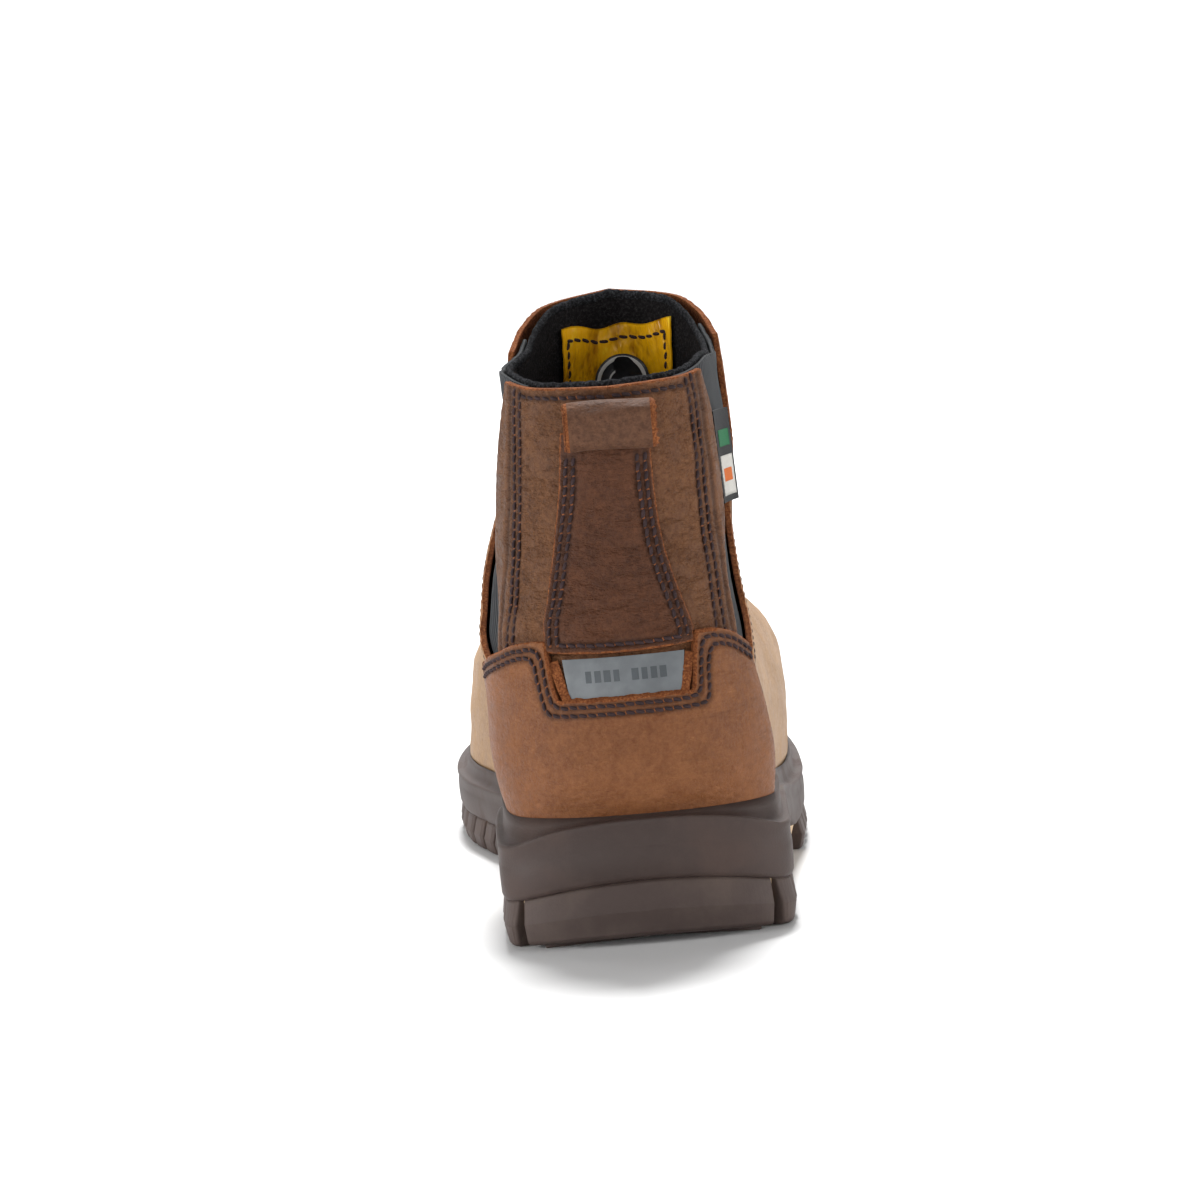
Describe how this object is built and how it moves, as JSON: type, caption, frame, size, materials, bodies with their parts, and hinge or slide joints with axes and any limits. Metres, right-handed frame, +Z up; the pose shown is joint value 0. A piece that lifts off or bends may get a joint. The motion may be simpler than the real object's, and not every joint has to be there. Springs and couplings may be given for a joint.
{
  "type": "steel toe work boot",
  "caption": "Right-foot pull-on work boot in brown leather with elastic side gores, heel counter, rear pull loop, steel toe cap and treaded rubber sole.",
  "frame": {"origin": "centre of the footprint, on the floor", "axes": "+Z up, +Y towards the toe, +X towards the outer (lateral) side of the foot"},
  "size_m": [0.1084, 0.298, 0.17],
  "materials": {
    "leather": "oiled nubuck, slightly waxy",
    "leather_front": "oiled nubuck, slightly waxy",
    "reflective": "retroreflective film",
    "elastic": "ribbed woven elastic",
    "lining": "brushed knit",
    "label_satin": "satin",
    "badge": "woven",
    "tag_fabric": "woven",
    "board": "fibre board",
    "steel": "pressed and painted",
    "foam_core": "matte",
    "rubber_sole": "matte"
  },
  "bodies": {
    "boot": {"vamp": "leather_front", "quarter_medial": "leather", "quarter_lateral": "leather", "back_stay": "leather", "heel_counter": "leather", "reflective_patch": "reflective", "gore_medial": "elastic", "gore_lateral": "elastic", "lining_front": "lining", "lining_rear": "lining", "collar_binding": "lining", "inner_label": "label_satin", "label_badge": "badge", "heel_stiffener": "board", "steel_toe_cap": "steel", "toe_cap_bead": "rubber_sole", "insole_board": "board", "shank": "steel", "midsole_core": "foam_core", "midsole_frame": "rubber_sole", "heel_tread": "rubber_sole", "forefoot_tread": "rubber_sole"},
    "pull_loop": {"pull_loop": "leather"},
    "side_tag": {"side_tag": "tag_fabric"},
    "footbed": {"footbed": "lining"}
  },
  "joints": [
    {"name": "pull_loop_hinge", "type": "hinge", "parent": "boot", "child": "pull_loop", "pos_m": [0.00293, -0.13787, 0.1295], "axis": [1, 0, 0], "range_deg": [0, 75], "stiffness_Nm_per_rad": 0.02},
    {"name": "side_tag_hinge", "type": "hinge", "parent": "boot", "child": "side_tag", "pos_m": [0.03098, -0.116, 0.12349], "axis": [0.0489, 0.0821, -0.9954], "range_deg": [-3, 70], "stiffness_Nm_per_rad": 0.002},
    {"name": "footbed_lift", "type": "slide", "parent": "boot", "child": "footbed", "axis": [0, 0, 1], "range_m": [0, 0.006]}
  ]
}
